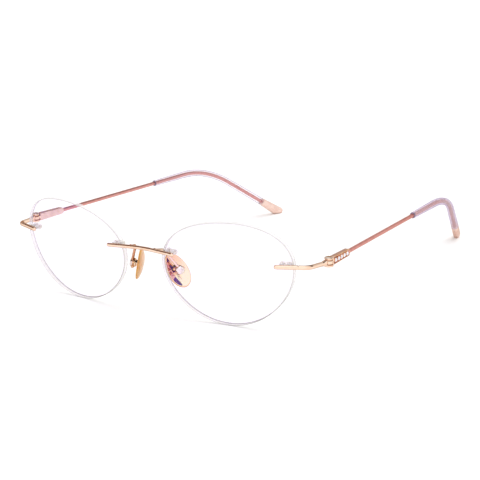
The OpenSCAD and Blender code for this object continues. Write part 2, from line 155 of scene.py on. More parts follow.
# ---- meshes
class Shape:
    """Collects vertices, faces and a material number for each face."""

    def __init__(self):
        self.points, self.faces, self.kinds, self.flow, self.count = [], [], [], [], 0

    def add(self, points, faces, kind=0, flow=None):
        points = np.asarray(points, float)
        self.points.append(points)
        self.flow.append(np.zeros_like(points) if flow is None else np.asarray(flow, float))
        self.faces += [tuple(i + self.count for i in f) for f in faces]
        self.kinds += list(kind) if np.ndim(kind) else [kind] * len(faces)
        self.count += len(points)

    def rings(self, rings, kinds=0, ends=(True, True), loop=False, flow=None):
        """Joins closed rings of equal length into a skin. An end can be closed to its middle."""
        n, m = len(rings[0]), len(rings)
        points = np.concatenate(rings)
        flows = np.zeros_like(points) if flow is None else np.concatenate(flow)
        kinds = kinds if np.ndim(kinds) else [kinds] * (m if loop else m - 1)
        faces, marks = [], []
        for k in range(m if loop else m - 1):
            a, b = k * n, (k + 1) % m * n
            for i in range(n):
                j = (i + 1) % n
                faces.append((a + i, a + j, b + j, b + i))
                marks.append(kinds[k])
        for closed, k, mark in ((ends[0], 0, kinds[0]), (ends[1], m - 1, kinds[-1])):
            if closed and not loop:
                pole, first = len(points), k * n
                points = np.vstack([points, rings[k].mean(0)])
                flows = np.vstack([flows, flows[first : first + n].mean(0)])
                for i in range(n):
                    a, b = first + i, first + (i + 1) % n
                    faces.append((a, b, pole) if k else (b, a, pole))
                    marks.append(mark)
        self.add(points, faces, marks, flows)

    def build(self, name, materials, side=1, smooth=38):
        """Makes the Blender object, on the left or mirrored to the right."""
        points = np.concatenate(self.points) * (side, 1, 1) * MM
        mesh = bpy.data.meshes.new(name)
        mesh.from_pydata(points.tolist(), [], self.faces)
        for m in materials:
            mesh.materials.append(m)
        mesh.polygons.foreach_set("material_index", self.kinds)
        flow = mesh.attributes.new("flow", "FLOAT_VECTOR", "POINT")
        flow.data.foreach_set("vector", np.concatenate(self.flow).ravel())
        bm = bmesh.new()
        bm.from_mesh(mesh)
        bmesh.ops.recalc_face_normals(bm, faces=bm.faces)
        bm.to_mesh(mesh)
        bm.free()
        soften(mesh, smooth)
        return new_object(name, mesh)


def new_object(name, data):
    item = bpy.data.objects.new(name, data)
    bpy.context.scene.collection.objects.link(item)
    return item


def soften(mesh, sharp):
    """Smooth shading, with edges sharper than this angle kept."""
    mesh.polygons.foreach_set("use_smooth", [True] * len(mesh.polygons))
    mesh.set_sharp_from_angle(angle=radians(sharp))
    mesh.update()


def cut(piece, cutter, sharp):
    """Takes the cutter's solid out of the piece, and removes the cutter."""
    m = piece.modifiers.new("cut", "BOOLEAN")
    m.object, m.operation, m.solver = cutter, "DIFFERENCE", "EXACT"
    m.material_mode = "INDEX"
    result = bpy.data.meshes.new_from_object(
        piece.evaluated_get(bpy.context.evaluated_depsgraph_get())
    )
    piece.modifiers.clear()
    piece.data = result
    bpy.data.objects.remove(cutter)
    split_ngons(result)
    soften(result, sharp)


def split_ngons(mesh):
    """Splits the many-sided faces that a cut leaves into clean triangles."""
    bm = bmesh.new()
    bm.from_mesh(mesh)
    bmesh.ops.triangulate(bm, faces=[f for f in bm.faces if len(f.verts) > 4])
    bm.to_mesh(mesh)
    bm.free()


def bent_path(a, c, b, bend_r, step, arc_step):
    """Points from a to b, with a bend in place of the corner c. The steps are lengths."""
    d, e = unit(c - a), unit(b - c)
    turn = acos(np.clip(d @ e, -1, 1))
    back = bend_r * tan(turn / 2)
    n = unit(np.cross(d, e))
    start, towards = c - d * back, np.cross(n, d)
    centre = start + towards * bend_r
    straight = lambda p, q, k: [p + (q - p) * t for t in np.linspace(0, 1, max(2, k))]
    arcs = max(8, int(bend_r * turn / arc_step))
    arc = [
        centre - towards * bend_r * cos(t) + d * bend_r * sin(t)
        for t in np.linspace(0, turn, arcs)
    ]
    first = straight(a, start, int(np.linalg.norm(start - a) / step) + 2)
    last = straight(c + e * back, b, int(np.linalg.norm(b - c - e * back) / step) + 2)
    return np.array(first[:-1] + arc + last[1:])


def lengths(path):
    return np.concatenate([[0], np.cumsum(np.linalg.norm(np.diff(path, axis=0), axis=1))])


def frames(path):
    """Tangent and two square directions at each point, carried along without twist."""
    t = np.gradient(path, axis=0)
    t /= np.linalg.norm(t, axis=1)[:, None]
    x = unit(np.cross(t[0], Z_AXIS if abs(t[0][2]) < 0.9 else X_AXIS))
    out = []
    for d in t:
        x = unit(x - d * (x @ d))
        out.append((d, x, np.cross(d, x)))
    return out


def ring(centre, x, y, r, sides):
    a = turns(sides)
    return centre + np.outer(np.cos(a) * r, x) + np.outer(np.sin(a) * r, y)


def tube(shape, path, radius, sides=40, kinds=0, start="flat", end="flat", bevel=0.1):
    """A rod along path, with domed, bevelled or flat ends. radius may vary along it."""
    radius = np.broadcast_to(np.asarray(radius, float), (len(path),))
    f, s = frames(path), lengths(path)
    stations = []

    def tip(k, style, sign):
        d, r = f[k][0] * sign, radius[k]
        if style == "dome":
            return [
                (path[k] + d * r * sin(t), r * cos(t), s[k] + sign * r * sin(t))
                for t in np.radians([18, 36, 52, 66, 78, 86])
            ]
        return [(path[k], r - bevel, s[k])] if style == "bevel" else []

    for c, r, l in reversed(tip(0, start, -1)):
        stations.append((c, f[0], r, l))
    for k in range(len(path)):
        shift = bevel if (k == 0 and start == "bevel") else 0
        shift = -bevel if (k == len(path) - 1 and end == "bevel") else shift
        stations.append((path[k] + f[k][0] * shift, f[k], radius[k], s[k]))
    for c, r, l in tip(len(path) - 1, end, 1):
        stations.append((c, f[-1], r, l))
    a = turns(sides)
    rings, flow = [], []
    for c, (d, x, y), r, l in stations:
        rings.append(ring(c, x, y, r, sides))
        flow.append(columns(np.cos(a) * r, np.sin(a) * r, l))
    shape.rings(rings, kinds, flow=flow)


def lathe(shape, place, profile, sides=64, kinds=0, ends=(True, True), loop=False):
    """Turns a profile of (radius, height) round the z axis, then puts it in place. With loop,
    the profile's end joins its start, which makes a closed ring with a bore."""
    rings = [ring(vec(0, 0, h), vec(1, 0, 0), vec(0, 1, 0), r, sides) for r, h in profile]
    shape.rings([place(r) for r in rings], kinds, ends=ends, loop=loop, flow=rings)


def rounded(r, h0, h1, edge):
    """The profile of a short cylinder with rounded edges."""
    t = np.linspace(0, pi / 2, 4)
    low_edge = [(r - edge + edge * sin(a), h0 + edge - edge * cos(a)) for a in t]
    high_edge = [(r - edge + edge * cos(a), h1 - edge + edge * sin(a)) for a in t]
    return low_edge + high_edge


def placed(at, ex, ez):
    """A function that puts points with their x along ex and z along ez, standing at a point."""
    m = np.stack([ex, np.cross(ez, ex), ez], 1)
    return lambda p: np.asarray(p) @ m.T + at


def stack(shape, loop, normals, profile, place, kinds=0, ends=(True, True)):
    """Skins copies of a flat loop. Each copy is moved in by an inset and out to a depth."""
    rings = []
    for inset, depth in profile:
        q = loop - normals * inset
        rings.append(place(columns(q[:, 0], depth, q[:, 1])))
    shape.rings(rings, kinds, ends=ends, flow=rings)


def scaled_rings(loop, steps, point):
    """Copies of a flat loop, each scaled about its middle. point puts a step's copy in space."""
    mid = loop.mean(0)
    return [point(mid + (loop - mid) * share, level) for level, share in steps]


def stadium(x0, x1, r0, r1, count, square_start=False):
    """A flat loop round two discs, with its outward normals. It can start square."""
    points, normals = [], []

    def arc(x, z, r, angles):
        for a in angles:
            points.append((x + r * cos(a), z + r * sin(a)))
            normals.append((cos(a), sin(a)))

    slope = asin((r0 - r1) / (x1 - x0))
    arc(x1, 0, r1, np.linspace(-pi / 2 + slope, pi / 2 - slope, count))
    top = [(x1 + (x0 - x1) * t, r1 + (r0 - r1) * t) for t in np.linspace(0, 1, 12)[1:-1]]
    points += top
    normals += [(sin(slope), cos(slope))] * len(top)
    if square_start:
        e = 0.18
        arc(x0 + e, r0 - e, e, np.linspace(pi / 2, pi, 4))
        for z in np.linspace(r0 - e, -(r0 - e), 8)[1:-1]:
            points.append((x0, z))
            normals.append((-1, 0))
        arc(x0 + e, -(r0 - e), e, np.linspace(pi, 1.5 * pi, 4))
    else:
        arc(x0, 0, r0, np.linspace(pi / 2 - slope, 1.5 * pi + slope, count))
    points += [(x, -z) for x, z in reversed(top)]
    normals += [(sin(slope), -cos(slope))] * len(top)
    return np.array(points), np.array(normals)


# ---- materials
def srgb(r, g, b):
    """A display colour, 0 to 255, as the linear colour that Blender works in."""
    linear = [((c / 255 + 0.055) / 1.055) ** 2.4 if c > 10 else c / 3294 for c in (r, g, b)]
    return (*linear, 1)


def feed(tree, socket, value):
    if isinstance(value, bpy.types.NodeSocket):
        tree.links.new(value, socket)
    elif value is not None:
        socket.default_value = value


class Nodes:
    """Short calls for building a node tree."""

    def __init__(self, tree):
        self.tree = tree
        tree.nodes.clear()

    def __call__(self, kind, *values, out=0, named=None, **settings):
        n = self.tree.nodes.new("ShaderNode" + kind)
        for k, v in settings.items():
            setattr(n, k, v)
        for i, v in enumerate(values):
            feed(self.tree, n.inputs[i], v)
        for k, v in (named or {}).items():
            feed(self.tree, n.inputs[k], v)
        return n.outputs[out]

    def math(self, operation, a, b=None, clamp=False):
        return self("Math", a, b, operation=operation, use_clamp=clamp)

    def add(self, a, b, clamp=False):
        return self.math("ADD", a, b, clamp)

    def mul(self, a, b, clamp=False):
        return self.math("MULTIPLY", a, b, clamp)

    def solid(self, colour, rough, **more):
        """A Principled surface. More of its inputs go by name, with _ for a space."""
        named = {key.replace("_", " "): value for key, value in more.items()}
        return self("BsdfPrincipled", named={"Base Color": colour, "Roughness": rough, **named})

    def facing(self, blend=0.5):
        """0 where the surface is seen straight on, 1 where it's seen edge-on."""
        return self("LayerWeight", blend, out="Facing")

    def mix(self, factor, a, b, blend="MIX"):
        """Mixes two colours. Three numbers stand for a display colour."""
        n = self.tree.nodes.new("ShaderNodeMix")
        n.data_type, n.blend_type = "RGBA", blend
        a, b = (srgb(*c) if isinstance(c, tuple) and len(c) == 3 else c for c in (a, b))
        for key, v in ((0, factor), (6, a), (7, b)):
            feed(self.tree, n.inputs[key], v)
        return n.outputs[2]

    def ramp(self, factor, low, high, a=0.0, b=1.0):
        n = self.tree.nodes.new("ShaderNodeMapRange")
        n.interpolation_type = "SMOOTHSTEP"
        for key, v in enumerate((factor, low, high, a, b)):
            feed(self.tree, n.inputs[key], v)
        return n.outputs[0]

    def noise(self, vector, scale, detail=3.0, rough=0.5):
        named = {"Scale": scale, "Detail": detail, "Roughness": rough}
        return self("TexNoise", vector, named=named)

    def scaled(self, vector, x, y, z):
        return self("VectorMath", vector, (x, y, z), operation="MULTIPLY")

    def flow(self, x=1.0, y=1.0, z=1.0):
        """Distance round and along a rod in millimetres, each stretched by its own share."""
        return self.scaled(self("Attribute", attribute_name="flow", out="Vector"), x, y, z)

    def place(self, scale=1000.0):
        """The rest position in millimetres."""
        return self.scaled(self("TexCoord", out="Object"), scale, scale, scale)

    def finish(self, surface, target="OutputMaterial"):
        out = self.tree.nodes.new("ShaderNode" + target)
        self.tree.links.new(surface, out.inputs[0])


def material(name, build):
    m = bpy.data.materials.new(name)
    m.use_nodes = True
    n = Nodes(m.node_tree)
    n.finish(build(n))
    return m


def looks(name):
    """Makes a material of the function below it, which then stands for the material."""
    return lambda build: material(name, build)


def metal(name, colour, deep, rough, scratch=0.03, brushed=0.0, pale_edges_dark_hollows=0.0, shade=0.5, metallic=1.0):
    """Plated metal: tone drifts a little, fine marks run along the part, sharp edges are paler and
    hollows darker.
    """

    def build(n):
        spot = n.place()
        drift = n.noise(spot, 0.35, 2.0)
        grain = n.noise(n.flow(9.0, 9.0, 0.35), 1.0, 4.0, 0.6)
        base = n.mix(n.ramp(drift, 0.35, 0.7), colour, deep)
        base = n.mix(n.mul(grain, 0.12 + brushed), base, deep)
        # Sharp outer edges turn paler and hollows go dark brown.
        if pale_edges_dark_hollows:
            point = n("NewGeometry", out="Pointiness")
            base = n.mix(n.ramp(point, 0.5, 0.62, 0.0, pale_edges_dark_hollows), base, (250, 226, 208))
            base = n.mix(n.ramp(point, 0.36, 0.46, 0.9, 0.0), base, (74, 44, 34))
        # Painted shade: the metal goes darker where it is seen edge-on, and its reflections take a
        # darker tint.
        grazing = n.ramp(n.facing(), 0.42, 0.9, 0.0, shade)
        dark = n.mix(1.0, base, (150, 112, 88), "MULTIPLY")
        base = n.mix(grazing, base, dark)
        roughness = n.ramp(grain, 0.3, 0.8, rough * 0.75, rough * 1.35)
        height = n.add(grain, n.mul(n.noise(spot, 6.0, 3.0), 0.35))
        bump = n("Bump", named={"Strength": scratch, "Distance": 0.0001, "Height": height})
        tint = n.mix(shade, (255, 236, 222), (150, 112, 88))
        return n.solid(base, roughness, Metallic=metallic, Normal=bump, Specular_Tint=tint)

    return material(name, build)


rose_gold = metal(
    "rose_gold_polished", (250, 222, 200), (244, 208, 182), 0.06, 0.02, pale_edges_dark_hollows=0.35, shade=0.7)
beads_gold = metal("rose_gold_beads", (240, 200, 160), (214, 164, 124), 0.14, 0.03, shade=0.7)
satin_gold = metal(
    "satin_gold_brushed", (248, 222, 210), (238, 202, 188), 0.34, 0.1, brushed=0.25, pale_edges_dark_hollows=0.3,
    shade=0.3, metallic=0.55)
satin_pink = metal("satin_pink_plate", (235, 208, 198), (222, 190, 180), 0.34, 0.12, 0.3, 0.2)
copper = metal("copper_pink_wire", (222, 160, 153), (211, 146, 139), 0.42, 0.06, 0.1, shade=0.2)
# A darker copy of the rose gold for painted shade: on the right pad arm and the knuckle waists.
shaded_rose_gold = metal("rose_gold_shaded", (226, 178, 146), (190, 136, 104), 0.12, 0.03)
silver_pink = metal(
    "silver_pink_cap", (246, 240, 230), (234, 222, 208), 0.08, 0.03, pale_edges_dark_hollows=0.3, shade=0.85)


@looks("lens_clear_coated")
def lens_clear(n):
    """Coated glass that doesn't bend light, with a faint violet reflection added over it."""
    wave = n.noise(n.place(), 0.08, 1.0)
    colour = n.mix(n.ramp(n.facing(), 0.85, 1.0), (255, 252, 255), (250, 247, 252))
    glint = n("BsdfGlossy", n.mix(wave, (84, 44, 250), (100, 60, 255)), 0.03)
    sheen = n("MixShader", 0.026, n("BsdfTransparent", (0, 0, 0, 1)), glint)
    return n("AddShader", n("BsdfTransparent", colour), sheen)


def rim_look(light, dark, share):
    """The cut edge of a lens: pale lilac at the top, with painted shade that makes it greyer
    towards the bottom.
    """

    def build(n):
        spot = n.place()
        z = n("SeparateXYZ", spot, out="Z")
        grain = n.noise(spot, 2.5, 4.0)
        height = n.add(z, n.mul(grain, 6.0))
        # Painted shade: the edge darkens the lower it is on the lens.
        tone = n.mix(n.ramp(height, FLOOR_Z + 2, FLOOR_Z + 26), dark, light)
        facing = n.facing(0.35)
        ground = n.solid(tone, 0.45, Specular_IOR_Level=0.3)
        clear = n("BsdfTransparent", n.mix(0.5, tone, (1, 1, 1, 1)))
        return n("MixShader", n.add(n.mul(facing, 0.3), share, True), clear, ground)

    return material("lens_edge_" + str(int(share * 100)), build)


rim_line = rim_look((227, 223, 222), (170, 167, 160), 0.72)
rim_band = rim_look((245, 243, 242), (234, 233, 228), 0.48)


@looks("bushing_clear_plastic")
def bushing_clear(n):
    """Clear plastic of the lens bushings: bright inside, with thin brownish pink outlines."""
    facing = n.facing(0.4)
    edge = n.ramp(facing, 0.45, 0.95)
    clear = n("BsdfTransparent", n.mix(edge, (255, 255, 250), (218, 202, 186)))
    tone = n.mix(edge, (253, 253, 248), (222, 204, 186))
    rough = n.ramp(n.noise(n.place(), 1.5), 0.3, 0.7, 0.06, 0.16)
    milk = n.solid(tone, rough, Coat_Weight=0.8)
    return n("MixShader", n.ramp(facing, 0.0, 0.9, 0.35, 0.75), clear, milk)


def sleeve_look(milk):
    """Soft clear sleeve: colourless where it's thin, lilac at its sides, with milky streaks."""

    def build(n):
        facing = n.facing()
        drift = n.noise(n.flow(0.6, 0.6, 0.05), 1.0, 2.0)
        side = n.mix(drift, (194, 176, 206), (210, 192, 216))
        colour = n.mix(n.ramp(facing, 0.34, 0.9), (254, 253, 254), side)
        clear = n("BsdfTransparent", colour)
        glint = n("BsdfGlossy", srgb(255, 250, 255), 0.07)
        clear = n("MixShader", n.ramp(facing, 0.3, 1.0, 0.03, 0.25), clear, glint)
        streak = n.noise(n.flow(0.7, 0.7, 0.07), 1.0, 2.0)
        tone = n.mix(streak, (248, 238, 243), (238, 220, 231))
        haze = n.solid(tone, 0.15, Coat_Weight=0.5, Coat_Roughness=0.05)
        share = n.mul(n.ramp(streak, 0.3, 0.7, 0.75, 1.25), n.ramp(facing, 0.0, 1.0, 1.0, 1.5))
        return n("MixShader", n.mul(share, milk, True), clear, haze)

    return build


sleeve_near = material("sleeve_clear_milky", sleeve_look(0.14))
sleeve_far = material("sleeve_clear_lilac", sleeve_look(0.07))


@looks("sleeve_bore_clear")
def sleeve_bore(n):
    tone = n.mix(n.noise(n.place(), 0.5), (255, 253, 254), (252, 248, 252))
    return n("BsdfTransparent", tone)


@looks("sleeve_cut_slate")
def sleeve_cut(n):
    """The cut end of the sleeve, where light is trapped and it goes dark slate."""
    spot = n.place()
    tone = n.mix(n.noise(spot, 1.2), (104, 88, 108), (160, 150, 174))
    solid = n.solid(tone, 0.25, Coat_Weight=0.4)
    return n("MixShader", 0.8, n("BsdfTransparent", srgb(210, 200, 220)), solid)


@looks("pad_amber_silicone")
def pad_amber(n):
    """Soft amber pad: glowing, deeper in colour towards its back, with cloudy streaks inside."""
    spot = n.place()
    cloud = n.noise(n.scaled(spot, 1.0, 1.0, 0.6), 1.1, 4.0, 0.65)
    face = n.mix(n.ramp(cloud, 0.35, 0.7), (246, 208, 168), (238, 190, 140))
    deep = n.mix(n.ramp(cloud, 0.35, 0.7), (240, 190, 100), (222, 158, 66))
    depth = n.add(n("SeparateXYZ", n.flow(), out="X"), n.mul(cloud, 0.5))
    amber = n.mix(n.ramp(depth, -0.5, 0.25), face, deep)
    facing = n.facing(0.45)
    soft = n.solid(
        amber, 0.2, Coat_Weight=0.5, Coat_Roughness=0.05, Subsurface_Weight=0.3,
        Subsurface_Radius=(0.002, 0.001, 0.0005), Subsurface_Scale=1.0,
    )
    glow = n("BsdfTranslucent", n.mix(0.7, amber, (1, 0.8, 0.55, 1)))
    body = n("MixShader", 0.3, soft, glow)
    clear = n("BsdfTransparent", n.mix(0.5, amber, (1, 1, 1, 1)))
    return n("MixShader", n.ramp(facing, 0.0, 0.7, 0.8, 1.0), clear, body)


def streak(n, u, w, start, end, widths, soft=0.006):
    """1 on a tapered stroke from start to end in the plane of two values, else 0."""
    t = n("Clamp", n.math("DIVIDE", n.math("SUBTRACT", w, start[1]), end[1] - start[1]))
    centre = n.add(n.mul(t, end[0] - start[0]), start[0])
    width = n.add(n.mul(t, widths[1] - widths[0]), widths[0])
    off = n.math("SUBTRACT", n.math("ABSOLUTE", n.math("SUBTRACT", u, centre)), width)
    inside = n.ramp(off, -soft, soft, 1.0, 0.0)
    low, high = sorted((start[1], end[1]))
    return n.mul(inside, band(n, w, low, high, soft))


def band(n, value, low, high, soft=0.03):
    """1 where a value lies between low and high, else 0."""
    rise = n.ramp(value, low - soft, low + soft)
    fall = n.ramp(value, high - soft, high + soft, 1.0, 0.0)
    return n.mul(rise, fall)


def pad_back_look(side):
    """The gilded back of the pad: a mirror film with painted reflections of the room's dark
    furniture, which follow the reflected ray.
    """
    across_pad = tuple(PAD_MATRIX[:, 1] * (side, 1, 1))
    along_pad = tuple(PAD_MATRIX[:, 2] * (side, 1, 1))

    def build(n):
        ray = n("TexCoord", out="Reflection")
        u = n("VectorMath", ray, across_pad, operation="DOT_PRODUCT", out="Value")
        w = n("VectorMath", ray, along_pad, operation="DOT_PRODUCT", out="Value")
        ripple = n.noise(n.place(), 0.5, 1.0)
        u = n.add(u, n.mul(n.math("SUBTRACT", ripple, 0.5), 0.03))
        # Painted reflection: the gold's tone and the dark streaks are set by the reflected ray's
        # direction, not by anything in the scene.
        gold = n.mix(n.ramp(w, -0.42, -0.12), (248, 206, 162), (255, 247, 206))
        gold = n.mix(n.ramp(u, 0.46, 0.54), gold, (230, 176, 168))
        gold = n.mix(n.ramp(u, 0.66, 0.74), gold, (250, 216, 190))
        dark = streak(n, u, w, (0.42, -0.44), (0.47, -0.37), (0.01, 0.05))
        for start, end, widths in (
            ((0.49, -0.335), (0.44, -0.215), (0.045, 0.06)),
            ((0.58, -0.185), (0.41, 0.01), (0.065, 0.008)),
            ((-0.15, -0.14), (-0.06, -0.02), (0.02, 0.02)),
        ):
            dark = n.math("MAXIMUM", dark, streak(n, u, w, start, end, widths))
        tone = n.mix(n.mul(dark, 0.94), gold, (84, 48, 112))
        mirror = n.solid(tone, 0.05, Metallic=1.0, Coat_Weight=0.15)
        return n("MixShader", 0.15, mirror, n.solid(tone, 0.3))

    return build


@looks("crystal_facets")
def crystal(n):
    facing = n.facing(0.3)
    sparkle = n.noise(n.place(), 3.0, 1.0)
    white = n.mix(n.ramp(sparkle, 0.35, 0.65), (255, 255, 255), (214, 206, 222))
    gloss = n("BsdfGlossy", white, 0.02)
    body = n.solid(white, 0.05, Coat_Weight=1.0)
    return n("MixShader", n.ramp(facing, 0.0, 1.0, 0.35, 0.8), body, gloss)


@looks("plate_pink_enamel")
def enamel(n):
    tone = n.mix(n.noise(n.place(), 2.0), (188, 88, 84), (204, 112, 104))
    return n.solid(tone, 0.25, Metallic=0.35, Coat_Weight=0.8)


pad_gilt = {
    side: material(f"pad_gilded_back_{hand}", pad_back_look(side))
    for side, hand in ((1, "left"), (-1, "right"))
}


# ---- pieces
def done(piece, body, slot, *nodes):
    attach(piece, body)
    if nodes:
        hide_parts(*nodes)


def make_lens(name, side):
    """A curved lens with a ground edge, small bevels on both rims and four drilled holes."""
    count = 288
    edge = outline(count)

    def surface(share, radius, shift=0.0):
        q = edge * share
        y = LENS_CURVE - np.sqrt(radius**2 - (q**2).sum(1)) + shift
        return from_lens(columns(q[:, 0], y, q[:, 1]))

    inner = 1 - RIM_BEVEL / (LENS_H / 2)
    shares = list(np.linspace(0.03, inner, 26))
    rings = [surface(s, LENS_CURVE) for s in shares]
    kinds = [0] * (len(shares) - 1) + [1]
    front, back = surface(1, LENS_CURVE, RIM_BEVEL), surface(1, LENS_CURVE - LENS_T, -RIM_BEVEL)
    for t in np.linspace(0, 1, 5):
        rings.append(front + (back - front) * t)
        kinds.append(2 if t < 1 else 1)
    for s in reversed(shares):
        rings.append(surface(s, LENS_CURVE - LENS_T))
        kinds.append(0)
    shape = Shape()
    shape.rings(rings, kinds)
    piece = shape.build(name, [lens_clear, rim_line, rim_band], side)
    drill = Shape()
    for outer in (-1, 1):
        for x in PINS:
            axis = [on_bar(outer, vec(x, y, 0)) for y in (-1.0, LENS_T + 1)]
            tube(drill, np.array(axis), TUBE_R + SNUG, 32, 2)
    cut(piece, drill.build(name + "_drill", [lens_clear, rim_line, rim_band], side), 25)
    return piece


def make_bushing(name, side, outer):
    """A clear double bushing behind the lens, with round lips where the pins come through."""
    shape = Shape()
    place = lambda p: on_bar(outer, p)
    back = LENS_T + SNUG
    bore, lip_top, edge = PIN_R + SNUG, back + BUSHING_T, 0.22
    loop, normals = stadium(*PINS, 1.0, 0.999, 20)
    waist = edge * np.exp(-((loop[:, 0] / 0.55) ** 2)) * np.sign(loop[:, 1])
    loop[:, 1] -= waist
    profile = [(0.1, back), (0.0, back + 0.1), (0.0, back + 0.7)]
    for t in np.linspace(0.2, pi / 2, 5):
        profile.append((edge * (1 - cos(t)), back + 0.72 + edge * sin(t)))
    stack(shape, loop, normals, profile, place)
    lip = [(bore, back + 0.5), (bore, lip_top - 0.1), (PIN_R + 0.1, lip_top - 0.02)]
    lip += [(0.66, lip_top - 0.02), (0.76, lip_top - 0.08), (0.8, lip_top - 0.2), (0.8, back + 0.8)]
    sleeve = [(bore, 0.06), (TUBE_R - 0.08, 0.05), (TUBE_R, 0.13), (TUBE_R, back), (bore, back)]
    for x in PINS:
        at = lambda p, x=x: place(columns(p[:, 0] + x, p[:, 2], p[:, 1]))
        lathe(shape, at, lip, 40, loop=True)
        lathe(shape, at, sleeve, 40, loop=True)
    return shape.build(name, [bushing_clear], side)


def bar_pins(shape, outer, bar_r):
    for x in PINS:
        ends = np.array([on_bar(outer, vec(x, y, 0)) for y in (-bar_r, LENS_T + BUSHING_T - 0.18)])
        tube(shape, ends, PIN_R, 24, end="bevel")


def bar_point(outer, along, r):
    return on_bar(outer, vec(along, -r - SNUG, 0))


def make_bridge():
    """The bridge bar with its four lens pins. Also gives its peak and its point at the rim."""
    a = bar_point(-1, BAR_OVERLAP / 2, BRIDGE_R)
    b = bar_point(-1, -BAR_OVERLAP / 2, BRIDGE_R)
    peak = a + (b - a) * a[0] / (a[0] - b[0])
    shape = Shape()
    path = bent_path(a, peak, a * MIRROR, BRIDGE_ARCH, 0.8, 0.3)
    tube(shape, path, BRIDGE_R, 56, 0, "dome", "dome")
    bar_pins(shape, -1, BRIDGE_R)
    pins = Shape()
    bar_pins(pins, -1, BRIDGE_R)
    points, flow = np.concatenate(pins.points), np.concatenate(pins.flow)
    shape.add(points * MIRROR, pins.faces, pins.kinds, flow)
    return shape.build("bridge_bar", [rose_gold]), peak, b


def make_end_piece(name, side):
    """The bar on the lens, the round corner, the arm and the hinge fork with two knuckles."""
    a, rim_end = bar_point(1, -BAR_OVERLAP / 2, END_R), bar_point(1, BAR_OVERLAP / 2, END_R)
    corner = a + (rim_end - a) * (HINGE[0] - CORNER_INSET - a[0]) / (rim_end[0] - a[0])
    arm = unit((HINGE - corner) * (1, 1, 0))
    arm_end = HINGE - arm * (KNUCKLE_R + 0.3)
    path = bent_path(a, corner, arm_end, CORNER_RADIUS, 0.12, 0.15)
    s = lengths(path)
    groove_at, groove_depth, groove_width = np.linalg.norm(corner - a) - 3.4, 0.12, 0.15
    radius = END_R - groove_depth * np.exp(-(((s - groove_at) / groove_width) ** 2))
    shape = Shape()
    tube(shape, path, radius, 56, start="dome")
    bar_pins(shape, 1, END_R)
    upright = placed(HINGE, X_AXIS, Z_AXIS)
    top, inside = HINGE_H / 2, MIDDLE_KNUCKLE_H / 2 + KNUCKLE_GAP
    waist = KNUCKLE_R - 0.2
    bore = 0.57
    upper = [(bore, inside), (waist - 0.06, inside), (waist, inside + 0.06)]
    upper += [(waist, top - 0.42), (KNUCKLE_R - 0.05, top - 0.36)]
    cap_edge = rounded(KNUCKLE_R, top - 0.36, top, 0.12)
    upper += [(r, h) for r, h in cap_edge if h > top - 0.3]
    lower = [(bore, -inside), (waist - 0.06, -inside), (waist, -inside - 0.06)]
    lower += [(waist, -inside - 0.2), (KNUCKLE_R - 0.04, -inside - 0.28)]
    foot_edge = rounded(KNUCKLE_R, -top, -inside - 0.28, 0.16)
    lower += [(r, h) for r, h in reversed(foot_edge) if h < -inside - 0.36]
    for profile, end in ((upper, top), (lower, -top)):
        # The knuckle waists take the darker copy of the rose gold: painted shade.
        waist_kinds = [1] * 4 + [0] * (len(profile) - 3)
        ring_profile = profile + [(bore, end), profile[0]]
        lathe(shape, upright, ring_profile, 72, waist_kinds, (False, False))
    # The web that joins the arm to the knuckles, cut away round the middle knuckle.
    along = placed(HINGE, arm, Z_AXIS)
    half, reach_z, web_length = 0.65, 0.95, 2.1
    for z0, z1 in ((-reach_z, -inside), (inside, reach_z)):
        web_block(shape, along, -KNUCKLE_R - 0.2, -0.9, half, z0, z1)
    a = turns(56)
    rings = []
    for t in np.concatenate([np.linspace(0, 1, 22), [1.0]]):
        ease = t * t * (3 - 2 * t)
        power = 2 / (2 + 5 * ease)
        y = (END_R + (half - END_R) * ease) * np.sign(np.cos(a)) * np.abs(np.cos(a)) ** power
        z = (END_R + (reach_z - END_R) * ease) * np.sign(np.sin(a)) * np.abs(np.sin(a)) ** power
        reach = -KNUCKLE_R - web_length + (web_length - KNUCKLE_GAP - 0.02) * t
        rings.append(along(columns(reach, y, z)))
    rings[-1] = rings[-1].mean(0) + (rings[-1] - rings[-1].mean(0)) * 0.97
    shape.rings(rings)
    return shape.build(name, [rose_gold, shaded_rose_gold], side)


def web_block(shape, place, x0, x1, half, z0, z1, edge=0.12, kind=0):
    """A small block with rounded long edges, from x0 to x1."""
    t = np.linspace(0, pi / 2, 4)
    side_y, top_z, bottom_z = half - edge, z1 - edge, z0 + edge
    loop = []
    corners = ((side_y, top_z), (-side_y, top_z), (-side_y, bottom_z), (side_y, bottom_z))
    for (cy, cz), start in zip(corners, (0, 90, 180, 270)):
        for a in t + radians(start):
            loop.append((cy + edge * cos(a), cz + edge * sin(a)))
    steps = ((x0, 0.86), (x0 + edge, 1), (x1 - edge, 1), (x1, 0.86))
    point = lambda q, x: place(columns(x, q[:, 0], q[:, 1]))
    shape.rings(scaled_rings(np.array(loop), steps, point), kind)


